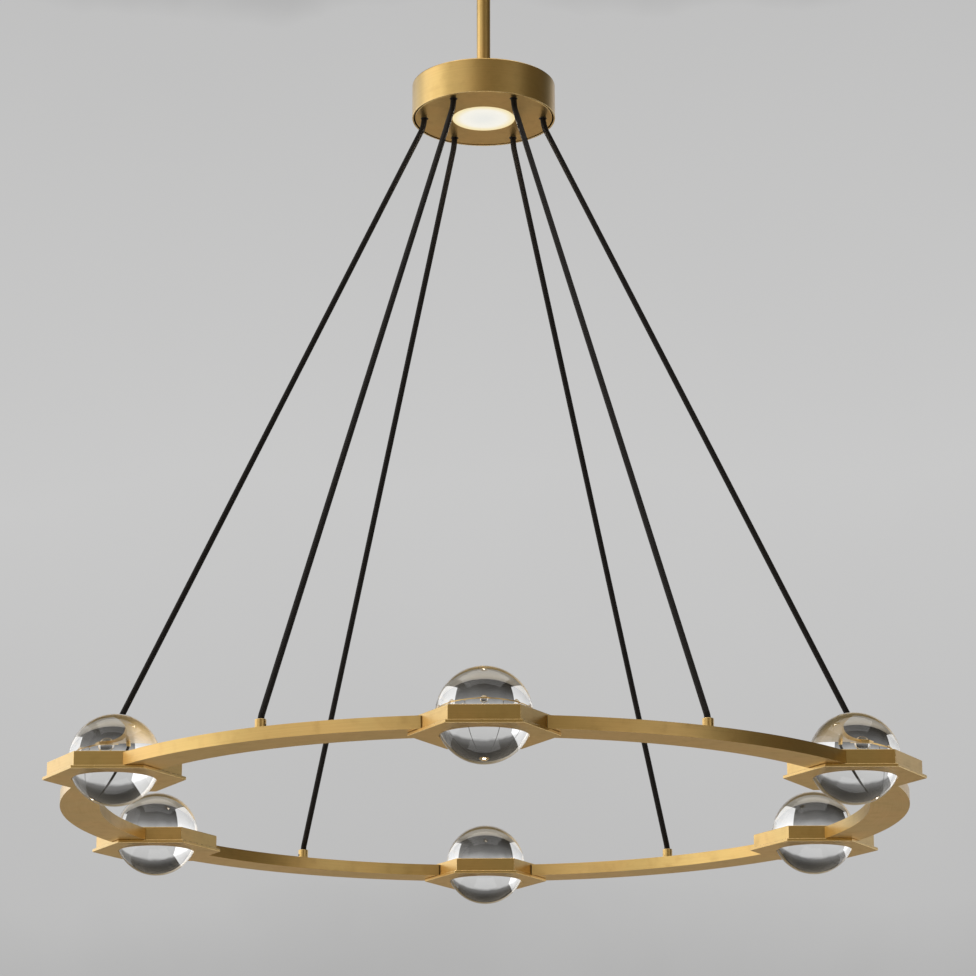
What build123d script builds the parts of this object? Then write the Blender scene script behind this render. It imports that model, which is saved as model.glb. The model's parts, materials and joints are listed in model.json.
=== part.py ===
from build123d import *
import math
import os

# Orb chandelier. Six solid crystal balls sit in six hexagonal holders, which six curved arms join
# into a ring. Six taut cables carry the ring from a drum-shaped hub with a downlight, and a stem
# hangs the hub from a swivel in the ceiling canopy.
# Millimetres, +Z up. The origin is on the ceiling, at the middle of the mounting strap.

os.makedirs("parts", exist_ok=True)

# ---------------------------------------------------------------- fits and clearances

running_gap = 0.3  # between pieces that move on each other
slip_gap = 0.1  # radial, a plug, screw or sleeve in its hole
turning_gap = 0.08  # radial, the swivel nipple turning in its ball
cable_gap = 0.3  # radial, a cable in a bushing or grip
collar_bore_gap = 0.5  # radial, a cable in its collar, which lets it lean over

# ---------------------------------------------------------------- ring of balls

place_count = 6
place_step = 360 / place_count
first_ball_angle = -90  # the ball nearest the viewer
ball_circle_radius = 530
ball_diameter = 115

hexagon_sides = 6
hexagon_turn = 180 / hexagon_sides  # puts two corners of a hexagon on the Y axis
ball_bore_gap = 2.5  # radial, a ball in its holder's bore
body_corner_wall = 24  # hexagonal holder, from the bore to a corner
body_height = 18.5
body_top_drop = 2.5  # top of the holder below the ball's centre
plate_overhang = 5.3  # the lower plate's corner beyond the holder's corner
plate_thickness = 4
plate_ball_gap = 0.5
edge_break = 0.5

seat_ring_height = 7
light_groove_height = 7
light_groove_depth = 3
light_groove_drop = 3  # top of the groove below the top of the holder
light_strip_thickness = 1.5
light_strip_height = 6

holder_screw_count = 2
holder_screw_edge = 12  # from the holder's corner to a screw
holder_screw_radius = 2
holder_screw_head_radius = 4
holder_screw_head_depth = 2
holder_screw_bite = 3  # into the lower plate, short of its underside

# ---------------------------------------------------------------- arms

arm_width = 51.6
arm_height = 16
arm_wall = 2.5
arm_plate_gap = 0.3  # between an arm's underside and the lower plate
arm_end_block = 18  # solid stretch past the holder's corner

arm_screw_radius = 2.5
arm_screw_head_radius = 4.25
arm_screw_head_height = 5
arm_screw_strip_gap = 1  # between the screw's head and the light strip's groove
arm_screw_bite = 14
arm_screw_height = 8.5  # above the underside of the holder
wire_hole_radius = 2.5
wire_hole_side = 12  # beside the arm screw, towards the ring's centre

# ---------------------------------------------------------------- cables and their ends

cable_diameter = 8
hub_run = 20  # straight cable above the bend under the hub
hub_bend_drop = 9.3  # the bend's corner below the hub plate
collar_run = 12  # straight cable below the bend at the collar
collar_bend_rise = 1.5  # the bend's corner above the collar
bend_share = 0.45  # of the short run that a bend takes up

collar_radius = 7
collar_height = 15
collar_spigot_radius = 5
core_hole_radius = 2
grub_screw_radius = 1.5
grub_screw_height = 7
grub_screw_proud = 0.3

# ---------------------------------------------------------------- hub

hub_radius = 100
hub_height = 50
hub_wall = 2
hub_top_round = 2
ring_drop = 963.5  # from the hub's rim down to the ball centres
hub_plate_thickness = 4
hub_plate_recess = 0.8
hub_plate_reveal = 2  # gap all round, between the plate and the wall
cable_edge_distance = 15.2  # from the hub's wall to a cable's centre

bushing_wall = 1.2
grip_radius = 7
grip_flange_radius = 8.5
grip_flange_height = 2
grip_height = 15

standoff_count = 3
standoff_driver_gap = 1  # from a standoff to a driver's side or end
standoff_radius = 4
hub_screw_radius = 1.9
hub_screw_head_radius = 4
hub_screw_head_height = 2.4
hub_screw_head_round = 1.2
hub_screw_bite = 10

driver_length = 110
driver_width = 45
driver_height = 20
driver_side = 20  # from the hub's axis to the driver's near face
driver_edge_round = 2

lens_radius = 43.7
lens_lip = 3.3
lens_lip_thickness = 1.5
lamp_housing_radius = 50
lamp_housing_height = 14
lamp_housing_wall = 1.5
chip_board_radius = 12
chip_board_thickness = 1.5
reflector_wall = 1
reflector_clearance = 1
heat_sink_radius = 35
heat_sink_base = 2
heat_sink_height = 8
fin_count = 9
fin_thickness = 1.6

# ---------------------------------------------------------------- stem and swivel

stem_radius = 9.525
stem_wall = 1.5
stem_length = 208
stem_end_block = 12
nipple_radius = 5
nipple_bore_radius = 3.2
nipple_bite = 10  # into the stem's end block
hub_nipple_end = 10  # below the hub's top wall

lock_nut_corner_radius = 9.2
lock_nut_height = 6

swivel_ball_radius = 16
swivel_ball_flat = 13  # the flat above the ball's centre
swivel_centre_rise = 12  # the ball's centre above the canopy's underside
nipple_top_rise = 21  # the nipple's top above the ball's centre
stem_top_drop = 20  # the stem's top below the ball's centre
seat_flange_radius = 20
seat_flange_height = 2.7
seat_collar_radius = 14
seat_opening_radius = 10.9
seat_proud = 1  # the seat's rim below the canopy

# ---------------------------------------------------------------- canopy and mounting strap

canopy_radius = 75
canopy_height = 42
canopy_wall = 1.5
canopy_round = 6

strap_length = 130
strap_width = 22
strap_thickness = 2.5
strap_end_round = 3
strap_centre_hole_radius = 10
box_screw_spacing = 88.9
box_slot_length = 14
box_slot_width = 4.8

stud_spacing = 116
stud_radius = 2
cap_nut_radius = 6
cap_nut_height = 8
cap_nut_round = 2.5
stud_bite = 5

# ---------------------------------------------------------------- levels and derived sizes

canopy_underside = -canopy_height
canopy_floor = canopy_underside + canopy_wall
swivel_centre = canopy_underside + swivel_centre_rise
stem_top = swivel_centre - stem_top_drop
hub_top = stem_top - stem_length
hub_rim = hub_top - hub_height
hub_ceiling = hub_top - hub_wall
hub_plate_low = hub_rim + hub_plate_recess
hub_plate_top = hub_plate_low + hub_plate_thickness
ball_centre = hub_rim - ring_drop

cable_circle_radius = hub_radius - hub_wall - cable_edge_distance

# The standoffs stand just outside the drivers: one beside a driver, two past the drivers' ends.
past_driver_side = driver_side + driver_width + standoff_radius + standoff_driver_gap
past_driver_end = driver_length / 2 + standoff_radius + standoff_driver_gap
standoff_lean = math.radians(place_step / 2)
standoff_circle_radius = max(past_driver_side, past_driver_end / math.cos(standoff_lean))

ball_radius = ball_diameter / 2
ball_bore_radius = ball_radius + ball_bore_gap
body_corner_radius = ball_bore_radius + body_corner_wall
holder_screw_circle_radius = body_corner_radius - holder_screw_edge
arm_screw_recess = light_groove_depth + arm_screw_strip_gap + arm_screw_head_height
body_top = ball_centre - body_top_drop
body_low = body_top - body_height
plate_low = body_low - plate_thickness
plate_corner_radius = body_corner_radius + plate_overhang
arm_low = body_low + arm_plate_gap
arm_top = arm_low + arm_height
arm_inner_radius = ball_circle_radius - arm_width / 2
arm_outer_radius = ball_circle_radius + arm_width / 2
collar_top = arm_top + collar_height

cable_radius = cable_diameter / 2
cable_top = hub_plate_low - hub_bend_drop + hub_run
cable_low = collar_top + collar_bend_rise - collar_run
bushing_radius = cable_radius + cable_gap + bushing_wall

ball_angles = [first_ball_angle + place_step * i for i in range(place_count)]
arm_angles = [angle + place_step / 2 for angle in ball_angles]

upright = (Align.CENTER, Align.CENTER, Align.MIN)


# ---------------------------------------------------------------- helpers


def disc(radius, low, high):
    """A cylinder about the Z axis, from low to high."""
    return Pos(0, 0, low) * Cylinder(radius, high - low, align=upright)


def sleeve(outer, inner, low, high):
    """A straight-walled ring about the Z axis."""
    return disc(outer, low, high) - disc(inner, low, high)


def hexagon(corner_radius, low, high):
    """A hexagonal prism with two corners on the Y axis."""
    outline = RegularPolygon(corner_radius, hexagon_sides, rotation=hexagon_turn)
    return Pos(0, 0, low) * extrude(outline, high - low)


def block(length, width, low, high):
    """A box centred on the Z axis, length along X and width along Y."""
    return Pos(0, 0, low) * Box(length, width, high - low, align=upright)


def at(angle, radius, shape):
    """The shape moved out along X and then turned about the Z axis."""
    return Rot(0, 0, angle) * Pos(radius, 0, 0) * shape


def ring_of(shape, angles, radius):
    """One group of equal copies, spread over the angles."""
    return Compound([at(angle, radius, shape) for angle in angles])


def along_y(shape):
    """A shape that stands on the Z axis, laid along +Y."""
    return Rot(-90, 0, 0) * shape


def save(name, shape):
    export_step(shape, f"parts/{name}.step")


# ---------------------------------------------------------------- ceiling side


def ceiling_strap():
    strap = block(strap_length, strap_width, -strap_thickness, 0)
    strap = fillet(strap.edges().filter_by(Axis.Z), strap_end_round)
    slot = extrude(SlotOverall(box_slot_length, box_slot_width), -strap_thickness)
    stud_hole = disc(stud_radius + slip_gap, -strap_thickness, 0)
    for side in (-1, 1):
        strap -= Pos(side * box_screw_spacing / 2, 0, 0) * slot
        strap -= Pos(side * stud_spacing / 2, 0, 0) * stud_hole
    return strap - disc(strap_centre_hole_radius, -strap_thickness, 0)


def canopy():
    outer = disc(canopy_radius, canopy_underside, 0)
    outer = fillet(outer.edges().sort_by(Axis.Z)[0], canopy_round)
    inner = disc(canopy_radius - canopy_wall, canopy_floor, 0)
    inner = fillet(inner.edges().sort_by(Axis.Z)[0], canopy_round - canopy_wall)
    shell = outer - inner
    shell -= disc(seat_collar_radius + running_gap, canopy_underside, canopy_floor)
    stud_hole = disc(stud_radius + slip_gap, canopy_underside, canopy_floor)
    for side in (-1, 1):
        shell -= Pos(side * stud_spacing / 2, 0, 0) * stud_hole
    return shell


def stud_pair(shape):
    return Compound([Pos(side * stud_spacing / 2, 0, 0) * shape for side in (-1, 1)])


def cap_nut():
    nut = disc(cap_nut_radius, canopy_underside - cap_nut_height, canopy_underside)
    nut = fillet(nut.edges().sort_by(Axis.Z)[0], cap_nut_round)
    bore = disc(stud_radius + slip_gap, canopy_underside - stud_bite, canopy_underside)
    return nut - bore


def swivel_seat():
    flange_low = canopy_floor + running_gap
    flange = disc(seat_flange_radius, flange_low, flange_low + seat_flange_height)
    seat = flange + disc(seat_collar_radius, canopy_underside - seat_proud, flange_low)
    seat -= Pos(0, 0, swivel_centre) * Sphere(swivel_ball_radius + running_gap)
    return seat - disc(seat_opening_radius, canopy_underside - seat_proud, swivel_centre)


def swivel_ball():
    ball = Pos(0, 0, swivel_centre) * Sphere(swivel_ball_radius)
    ball -= disc(
        swivel_ball_radius,
        swivel_centre + swivel_ball_flat,
        swivel_centre + swivel_ball_radius,
    )
    return ball - disc(
        nipple_radius + turning_gap,
        swivel_centre - swivel_ball_radius,
        swivel_centre + swivel_ball_radius,
    )


def lock_nut(low, high):
    nut = hexagon(lock_nut_corner_radius, low, high)
    return nut - disc(nipple_radius + slip_gap, low, high)


def stem_tube():
    low = stem_top - stem_length
    tube = disc(stem_radius, low, stem_top)
    tube -= disc(stem_radius - stem_wall, low + stem_end_block, stem_top - stem_end_block)
    return tube - disc(nipple_radius + slip_gap, low, stem_top)


# ---------------------------------------------------------------- hub


def hub_housing():
    drum = disc(hub_radius, hub_rim, hub_top)
    drum = fillet(drum.edges().sort_by(Axis.Z)[-1], hub_top_round)
    drum -= disc(hub_radius - hub_wall, hub_rim, hub_ceiling)
    drum -= disc(nipple_radius + slip_gap, hub_ceiling, hub_top)
    screw_hole = disc(hub_screw_radius + slip_gap, hub_ceiling, hub_top)
    for i in range(standoff_count):
        drum -= at(standoff_angle(i), standoff_circle_radius, screw_hole)
    return drum


def standoff_angle(index):
    """Standoffs stand midway between two cables."""
    return place_step / 2 + index * 360 / standoff_count


def hub_plate():
    plate = disc(hub_radius - hub_wall - hub_plate_reveal, hub_plate_low, hub_plate_top)
    plate = chamfer(plate.edges().sort_by(Axis.Z)[0], edge_break)
    plate -= disc(lens_radius + slip_gap, hub_plate_low, hub_plate_top)
    cable_hole = disc(bushing_radius + slip_gap, hub_plate_low, hub_plate_top)
    for angle in arm_angles:
        plate -= at(angle, cable_circle_radius, cable_hole)
    return plate


def standoff():
    post = disc(standoff_radius, hub_plate_top, hub_ceiling)
    return post - disc(hub_screw_radius + slip_gap, hub_ceiling - hub_screw_bite, hub_ceiling)


def hub_screw():
    head = disc(hub_screw_head_radius, hub_top, hub_top + hub_screw_head_height)
    head = fillet(head.edges().sort_by(Axis.Z)[-1], hub_screw_head_round)
    return head + disc(hub_screw_radius, hub_ceiling - hub_screw_bite, hub_top)


def cable_grip():
    """Clamps a cable on top of the hub plate. The cable's end stops at the shoulder inside."""
    grip = disc(grip_radius, hub_plate_top, hub_plate_top + grip_height)
    grip += disc(grip_flange_radius, hub_plate_top, hub_plate_top + grip_flange_height)
    grip -= disc(cable_radius + cable_gap, hub_plate_top, cable_top)
    return grip - disc(core_hole_radius, cable_top, hub_plate_top + grip_height)


def led_driver(side):
    box = block(driver_length, driver_width, hub_ceiling - driver_height, hub_ceiling)
    box = fillet(box.edges().filter_by(Axis.Z), driver_edge_round)
    return Pos(0, side * (driver_side + driver_width / 2), 0) * box


# ---------------------------------------------------------------- downlight in the hub


def diffuser():
    """Opal lens, flush with the hub plate, held by the lip on its top."""
    lip_top = hub_plate_top + lens_lip_thickness
    return disc(lens_radius, hub_plate_low, hub_plate_top) + disc(
        lens_radius + lens_lip, hub_plate_top, lip_top
    )


def lamp_housing():
    high = hub_plate_top + lamp_housing_height
    cup = disc(lamp_housing_radius, hub_plate_top, high)
    return cup - disc(
        lamp_housing_radius - lamp_housing_wall, hub_plate_top, high - lamp_housing_wall
    )


def chip_board():
    high = hub_plate_top + lamp_housing_height - lamp_housing_wall
    return disc(chip_board_radius, high - chip_board_thickness, high)


def reflector():
    """A thin cone, open at both ends, from the chip board's edge to the lens's lip."""
    low = hub_plate_top + lens_lip_thickness
    high = hub_plate_top + lamp_housing_height - lamp_housing_wall
    narrow = chip_board_radius + reflector_clearance
    wide = lens_radius + lens_lip - reflector_wall
    outline = Polyline(
        (narrow, 0, high),
        (narrow + reflector_wall, 0, high),
        (wide + reflector_wall, 0, low),
        (wide, 0, low),
        close=True,
    )
    return revolve(make_face(outline), Axis.Z)


def heat_sink():
    low = hub_plate_top + lamp_housing_height
    base_top = low + heat_sink_base
    top = low + heat_sink_height
    fins = block(2 * heat_sink_radius, fin_thickness, base_top, top)
    pitch = (2 * heat_sink_radius - fin_thickness) / fin_count
    rows = [(i - (fin_count - 1) / 2) * pitch for i in range(fin_count)]
    comb = Part() + [Pos(0, row, 0) * fins for row in rows]
    return disc(heat_sink_radius, low, base_top) + comb & disc(heat_sink_radius, low, top)


# ---------------------------------------------------------------- cables and collars


def cable(angle):
    """One cable, whole: down out of the hub plate, straight to the ring, down into its collar."""
    hub_corner = cable_top - hub_run
    collar_corner = cable_low + collar_run
    route = [
        (cable_circle_radius, 0, cable_top),
        (cable_circle_radius, 0, hub_corner),
        (ball_circle_radius, 0, collar_corner),
        (ball_circle_radius, 0, cable_low),
    ]
    spread = ball_circle_radius - cable_circle_radius
    half_turn = math.atan2(spread, hub_corner - collar_corner) / 2
    radii = [bend_share * run / math.tan(half_turn) for run in (hub_run, collar_run)]
    path = Rot(0, 0, angle) * FilletPolyline(*route, radius=radii)
    section = Plane(path @ 0, z_dir=path % 0) * Circle(cable_radius)
    tube = sweep(section, path)
    if angle == arm_angles[0]:
        share = tube.volume / (math.pi * cable_radius**2 * path.length)
        print("cable bend radii", [round(r, 1) for r in radii], "length", round(path.length, 1))
        print("cable volume over section times length", round(share, 4))
    return tube


def cable_collar():
    collar = disc(collar_radius, arm_top, collar_top)
    collar = chamfer(collar.edges().sort_by(Axis.Z)[-1], edge_break)
    collar += disc(collar_spigot_radius, arm_top - arm_wall, arm_top)
    collar -= disc(cable_radius + collar_bore_gap, cable_low, collar_top)
    collar -= disc(core_hole_radius, arm_top - arm_wall, cable_low)
    grub_hole = along_y(disc(grub_screw_radius + slip_gap, 0, collar_radius))
    return collar - Pos(0, 0, arm_top + grub_screw_height) * grub_hole


def grub_screw():
    """Clamps the cable in its collar, from the side."""
    inner_end = cable_radius + slip_gap
    outer_end = collar_radius + grub_screw_proud
    screw = along_y(disc(grub_screw_radius, inner_end, outer_end))
    return Pos(0, 0, arm_top + grub_screw_height) * screw


# ---------------------------------------------------------------- arms and holders


def arm():
    """A hollow curved bar about azimuth 0, its ends notched to sit on two holders' corners."""
    band = sleeve(arm_outer_radius, arm_inner_radius, arm_low, arm_top)
    band = chamfer(band.edges().filter_by(GeomType.CIRCLE), edge_break)
    band = wedge(place_step / 2, arm_low, arm_top) & band
    for side in (-1, 1):
        holder = hexagon(body_corner_radius, arm_low, arm_top)
        band -= at(side * place_step / 2, ball_circle_radius, holder)

    end_reach = body_corner_radius + arm_end_block
    end_angle = math.degrees(math.atan2(end_reach, ball_circle_radius))
    cavity = sleeve(
        arm_outer_radius - arm_wall,
        arm_inner_radius + arm_wall,
        arm_low + arm_wall,
        arm_top - arm_wall,
    )
    band -= wedge(place_step / 2 - end_angle, arm_low, arm_top) & cavity
    collar_hole = disc(collar_spigot_radius + slip_gap, arm_top - arm_wall, arm_top)
    band -= at(0, ball_circle_radius, collar_hole)
    for side in (-1, 1):
        drilling = mirrored(side, arm_drilling())
        band -= at(-side * place_step / 2, ball_circle_radius, drilling)
    return band


def wedge(half_angle, low, high):
    """A pie slice about azimuth 0, a little larger than the ring."""
    reach = 2 * arm_outer_radius
    side = reach * math.tan(math.radians(half_angle))
    outline = Polyline((0, 0), (reach, -side), (reach, side), close=True)
    return Pos(0, 0, low) * extrude(make_face(outline), high - low)


def mirrored(side, shape):
    """The shape on the +Y side of a holder, or its mirror image on the -Y side."""
    return shape if side > 0 else mirror(shape, Plane.XZ)


def arm_drilling():
    """Screw hole and wire hole, from a holder's bore along +Y into the arm's hollow."""
    reach = body_corner_radius + arm_screw_bite
    screw_hole = along_y(disc(arm_screw_radius + slip_gap, 0, reach))
    wire_hole = along_y(disc(wire_hole_radius, 0, body_corner_radius + 2 * arm_end_block))
    level = Pos(0, 0, body_low + arm_screw_height)
    return level * screw_hole + level * Pos(-wire_hole_side, 0, 0) * wire_hole


def arm_screw_end():
    """Where an arm screw's head starts, from the holder's axis."""
    return ball_bore_radius + arm_screw_recess - arm_screw_head_height


def arm_screw():
    head_low = arm_screw_end()
    head_high = head_low + arm_screw_head_height
    tip = body_corner_radius + arm_screw_bite - slip_gap
    screw = disc(arm_screw_head_radius, head_low, head_high)
    screw += disc(arm_screw_radius, head_high, tip)
    return Pos(0, 0, body_low + arm_screw_height) * along_y(screw)


def holder_screw_places():
    """Holder screws stand on corners that carry no arm, beside the ones on the Y axis."""
    return [hexagon_turn + i * 360 / holder_screw_count for i in range(holder_screw_count)]


def holder_body():
    body = hexagon(body_corner_radius, body_low, body_top)
    body = chamfer(body.faces().sort_by(Axis.Z)[-1].edges(), edge_break)
    body -= disc(ball_bore_radius, body_low, body_top)
    groove_top = body_top - light_groove_drop
    groove_radius = ball_bore_radius + light_groove_depth
    body -= disc(groove_radius, groove_top - light_groove_height, groove_top)

    head_seat = along_y(
        disc(arm_screw_head_radius + slip_gap, 0, ball_bore_radius + arm_screw_recess)
    )
    head_seat = Pos(0, 0, body_low + arm_screw_height) * head_seat
    for side in (-1, 1):
        body -= mirrored(side, arm_drilling() + head_seat)

    shank_hole = disc(holder_screw_radius + slip_gap, body_low, body_top)
    head_hole = disc(holder_screw_head_radius + slip_gap, body_top - holder_screw_head_depth, body_top)
    for angle in holder_screw_places():
        body -= at(angle, holder_screw_circle_radius, shank_hole + head_hole)
    return body


def holder_plate():
    """The wider plate under a holder, with a round hole that follows the ball."""
    plate = hexagon(plate_corner_radius, plate_low, body_low)
    plate = chamfer(plate.faces().sort_by(Axis.Z)[0].edges(), edge_break)
    plate -= Pos(0, 0, ball_centre) * Sphere(ball_radius + plate_ball_gap)
    screw_hole = disc(holder_screw_radius + slip_gap, body_low - holder_screw_bite, body_low)
    for angle in holder_screw_places():
        plate -= at(angle, holder_screw_circle_radius, screw_hole)
    return plate


def holder_screw():
    head = disc(holder_screw_head_radius, body_top - holder_screw_head_depth, body_top)
    return head + disc(
        holder_screw_radius, body_low - holder_screw_bite, body_top - holder_screw_head_depth
    )


def seat_ring():
    """Soft ring on the plate, cut to the ball's curve, which carries the ball."""
    ring = disc(ball_bore_radius - slip_gap, body_low, body_low + seat_ring_height)
    return ring - Pos(0, 0, ball_centre) * Sphere(ball_radius + running_gap)


def light_strip():
    groove_radius = ball_bore_radius + light_groove_depth
    middle = body_top - light_groove_drop - light_groove_height / 2
    return sleeve(
        groove_radius - slip_gap,
        groove_radius - slip_gap - light_strip_thickness,
        middle - light_strip_height / 2,
        middle + light_strip_height / 2,
    )


def crystal_ball():
    return Pos(0, 0, ball_centre) * Sphere(ball_radius)


# ---------------------------------------------------------------- the pieces, one file each

save("ceiling_strap", ceiling_strap())
save("strap_studs", stud_pair(disc(stud_radius, canopy_underside - stud_bite, 0)))
save("canopy", canopy())
save("cap_nuts", stud_pair(cap_nut()))

save("swivel_seat", swivel_seat())
save("swivel_ball", swivel_ball())
nipple_top = swivel_centre + nipple_top_rise
save(
    "swivel_nipple",
    sleeve(nipple_radius, nipple_bore_radius, stem_top - nipple_bite, nipple_top),
)
nut_low = swivel_centre + swivel_ball_flat + running_gap
save("swivel_lock_nut", lock_nut(nut_low, nut_low + lock_nut_height))
save("stem_tube", stem_tube())

save(
    "hub_nipple",
    sleeve(nipple_radius, nipple_bore_radius, hub_ceiling - hub_nipple_end, hub_top + nipple_bite),
)
save("hub_lock_nut", lock_nut(hub_ceiling - lock_nut_height, hub_ceiling))
save("hub_housing", hub_housing())
save("hub_plate", hub_plate())
standoff_angles = [standoff_angle(i) for i in range(standoff_count)]
save("hub_standoffs", ring_of(standoff(), standoff_angles, standoff_circle_radius))
save("hub_screws", ring_of(hub_screw(), standoff_angles, standoff_circle_radius))
save("cable_grips", ring_of(cable_grip(), arm_angles, cable_circle_radius))
bushing = sleeve(bushing_radius, cable_radius + cable_gap, hub_plate_low, hub_plate_top)
save("cable_bushings", ring_of(bushing, arm_angles, cable_circle_radius))
save("led_drivers", Compound([led_driver(-1), led_driver(1)]))

save("diffuser", diffuser())
save("lamp_housing", lamp_housing())
save("chip_board", chip_board())
save("reflector", reflector())
save("heat_sink", heat_sink())

save("cable_collars", ring_of(cable_collar(), arm_angles, ball_circle_radius))
save("grub_screws", ring_of(grub_screw(), arm_angles, ball_circle_radius))
save("seat_rings", ring_of(seat_ring(), ball_angles, ball_circle_radius))
save("light_strips", ring_of(light_strip(), ball_angles, ball_circle_radius))

holder_screws = Compound(
    [at(angle, holder_screw_circle_radius, holder_screw()) for angle in holder_screw_places()]
)
save("holder_screws", ring_of(holder_screws, ball_angles, ball_circle_radius))
arm_screws = Compound([mirrored(side, arm_screw()) for side in (-1, 1)])
save("arm_screws", ring_of(arm_screws, ball_angles, ball_circle_radius))

one_arm = arm()
one_body = holder_body()
one_plate = holder_plate()
one_ball = crystal_ball()
for number, (arm_angle, ball_angle) in enumerate(zip(arm_angles, ball_angles), start=1):
    save(f"cable_{number}", cable(arm_angle))
    save(f"arm_{number}", at(arm_angle, 0, one_arm))
    save(f"holder_body_{number}", at(ball_angle, ball_circle_radius, one_body))
    save(f"holder_plate_{number}", at(ball_angle, ball_circle_radius, one_plate))
    save(f"crystal_ball_{number}", at(ball_angle, ball_circle_radius, one_ball))
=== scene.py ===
# %% [markdown]
# Orb chandelier: six crystal balls in a brass ring, hung on black cables from a drum-shaped
# hub. The frame comes from the imported model, which fixes every size and place. This script
# dresses it: smooth glass, brushed brass with edges brightened by wear and a painted highlight,
# braided cables and a lit lens.

# %% Load the frame
import json
import math

import bmesh
import bpy
from mathutils import Matrix, Vector


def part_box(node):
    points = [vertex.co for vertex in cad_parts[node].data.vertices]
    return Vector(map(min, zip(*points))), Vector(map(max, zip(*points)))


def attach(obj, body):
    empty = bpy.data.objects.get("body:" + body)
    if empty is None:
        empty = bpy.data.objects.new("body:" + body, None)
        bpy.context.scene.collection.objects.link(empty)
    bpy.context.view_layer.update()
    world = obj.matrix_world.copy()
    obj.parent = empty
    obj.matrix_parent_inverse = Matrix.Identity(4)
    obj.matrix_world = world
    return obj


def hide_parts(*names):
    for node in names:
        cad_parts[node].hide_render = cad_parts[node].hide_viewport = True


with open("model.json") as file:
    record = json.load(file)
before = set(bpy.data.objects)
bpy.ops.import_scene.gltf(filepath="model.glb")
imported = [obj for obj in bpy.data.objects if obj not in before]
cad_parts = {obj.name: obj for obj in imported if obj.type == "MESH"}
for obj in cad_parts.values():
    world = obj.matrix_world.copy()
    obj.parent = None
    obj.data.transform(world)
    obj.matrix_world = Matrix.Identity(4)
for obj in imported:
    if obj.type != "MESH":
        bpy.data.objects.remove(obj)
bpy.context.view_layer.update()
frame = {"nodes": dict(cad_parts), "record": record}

# %% [markdown]
# Heights are read from the frame, so a piece lies where its node lies. Radii are written once
# here, because a round node is faceted and its box is a little smaller than the real circle.

# %% Sizes and levels
places = 6
place_step = math.tau / places
first_ball_angle = -math.pi / 2
ball_angles = [first_ball_angle + i * place_step for i in range(places)]
arm_angles = [angle + place_step / 2 for angle in ball_angles]

ring_radius = 0.530
ball_radius = 0.0575
bore_radius = 0.060
arm_half_width = 0.0258
hub_radius = 0.100
hub_wall = 0.002
lens_radius = 0.0437
stem_radius = 0.009525
cable_radius = 0.004
collar_radius = 0.007
cable_circle = 0.0828


def levels(node):
    """The lowest and highest Z of a node."""
    low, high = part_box(node)
    return low.z, high.z


body_low, body_top = levels("holder_body_1")
plate_low, plate_top = levels("holder_plate_1")
arm_low, arm_top = levels("arm_2")
hub_rim, hub_top = levels("hub_housing")
hub_plate_low, hub_plate_top = levels("hub_plate")
cable_low, cable_top = levels("cable_2")
ball_low, ball_high = levels("crystal_ball_1")
ball_centre = (ball_low + ball_high) / 2
body_corner = (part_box("holder_body_1")[1].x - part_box("holder_body_1")[0].x) / 2
plate_corner = (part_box("holder_plate_1")[1].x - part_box("holder_plate_1")[0].x) / 2
print(f"balls at {ball_centre:.4f}, hub rim at {hub_rim:.4f}, holder corner {body_corner:.4f}")

# %% [markdown]
# The camera stands below the ring and looks up at it, as a guest under the lamp would. A long
# lens keeps the far balls nearly as large as the near ones. The picture is taken to be square.

# %% Camera
camera_place = Vector((0.005, -4.249, -2.062))
camera_pitch = math.radians(15.98)
camera_roll = math.radians(-0.12)
lens_length = 120.3
sensor = 36
view_reach = 60


def add_object(name, data):
    """Makes an object of some data and puts it in the scene."""
    made = bpy.data.objects.new(name, data)
    bpy.context.scene.collection.objects.link(made)
    return made


camera_data = bpy.data.cameras.new("camera")
camera_data.lens = lens_length
camera_data.sensor_width = sensor
camera_data.sensor_fit = "HORIZONTAL"
camera_data.clip_end = view_reach
camera = add_object("camera", camera_data)
pitched = Matrix.Rotation(math.pi / 2 + camera_pitch, 4, "X")
looking = pitched @ Matrix.Rotation(camera_roll, 4, "Z")
camera.matrix_world = Matrix.Translation(camera_place) @ looking
bpy.context.scene.camera = camera
bpy.context.scene.view_settings.view_transform = "Standard"
print(f"camera {camera_place.length:.2f} m from the ceiling point")

# %% [markdown]
# A cable is a real length of cord that the ring pulls tight. Its line is a smooth curve through
# a short route: straight down out of the hub, along the tight run, and straight down into its
# collar. One more point near each bend keeps the long run straight up to the bend. The cable's
# thickness sits on its points, because a curve's box is grown by the radius of its points.

# %% Cables
hub_run = 0.020
collar_run = 0.012


def polar(angle, radius, height):
    """A point at an angle and a distance from the lamp's axis."""
    return Vector((radius * math.cos(angle), radius * math.sin(angle), height))


def cable_route(angle):
    """One cable's points, from its grip in the hub down into its collar."""
    start = polar(angle, cable_circle, cable_top)
    hub_corner = polar(angle, cable_circle, cable_top - hub_run)
    collar_corner = polar(angle, ring_radius, cable_low + collar_run)
    end = polar(angle, ring_radius, cable_low)
    along = (collar_corner - hub_corner).normalized()
    return [
        start,
        hub_corner,
        hub_corner + along * hub_run,
        collar_corner - along * collar_run,
        collar_corner,
        end,
    ]


cables = []
for number, angle in enumerate(arm_angles, start=1):
    line = bpy.data.curves.new(f"flex_{number}", "CURVE")
    line.dimensions = "3D"
    line.bevel_depth = 1
    line.bevel_resolution = 6
    line.resolution_u = 16
    line.use_fill_caps = True
    spline = line.splines.new("NURBS")
    route = cable_route(angle)
    spline.points.add(len(route) - 1)
    for point, spot in zip(spline.points, route):
        point.co = (*spot, 1)
        point.radius = cable_radius
    spline.order_u = 3
    spline.use_endpoint_u = True
    cable = add_object(f"flex_{number}", line)
    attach(cable, "pendant")
    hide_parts(f"cable_{number}")
    cables.append(cable)

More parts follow.
